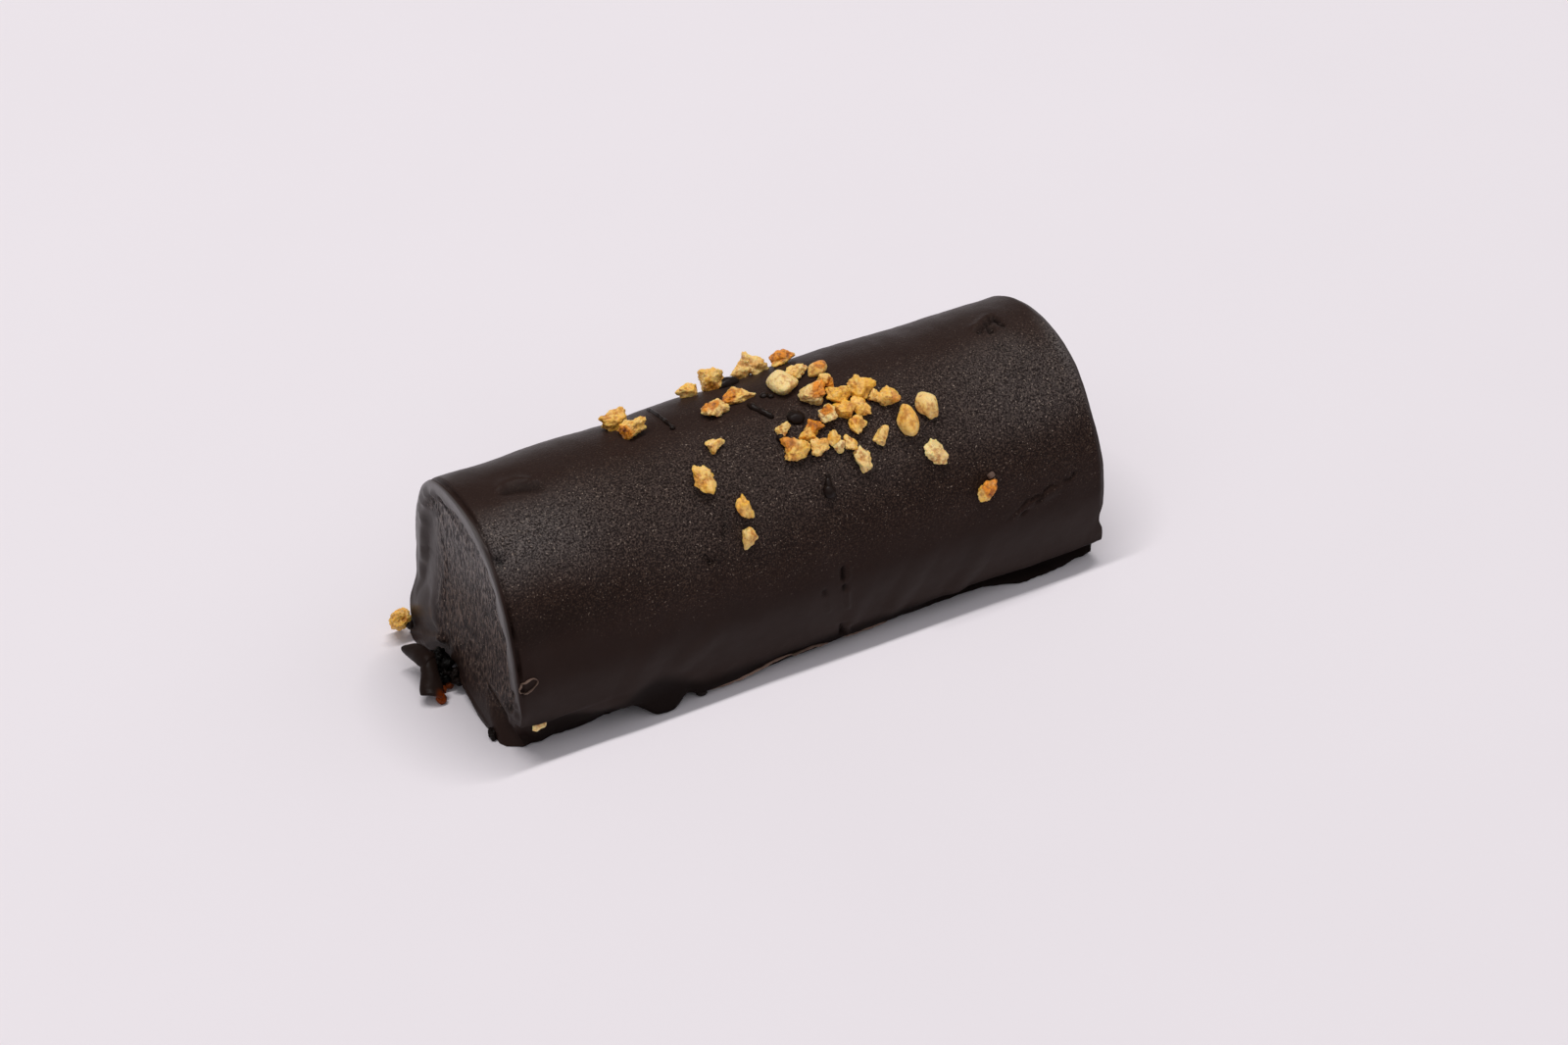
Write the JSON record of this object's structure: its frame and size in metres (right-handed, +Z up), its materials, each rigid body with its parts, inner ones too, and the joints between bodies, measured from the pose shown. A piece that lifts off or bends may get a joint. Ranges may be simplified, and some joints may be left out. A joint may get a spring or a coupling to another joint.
{
  "type": "chocolate-coated log cake",
  "caption": "Single-portion log-shaped cake coated all over in dark chocolate, topped with chopped toasted nuts.",
  "frame": {"origin": "middle of the flat base, on the surface that the cake stands on", "axes": "+X along the log towards the far end, +Y across it, +Z up"},
  "size_m": [0.108, 0.041, 0.0367],
  "materials": {
    "dark_chocolate": "satin dark chocolate coating",
    "toasted_nut": "chopped toasted nut kernels"
  },
  "bodies": {
    "root": {"glazed_log": "dark_chocolate"}
  },
  "joints": []
}
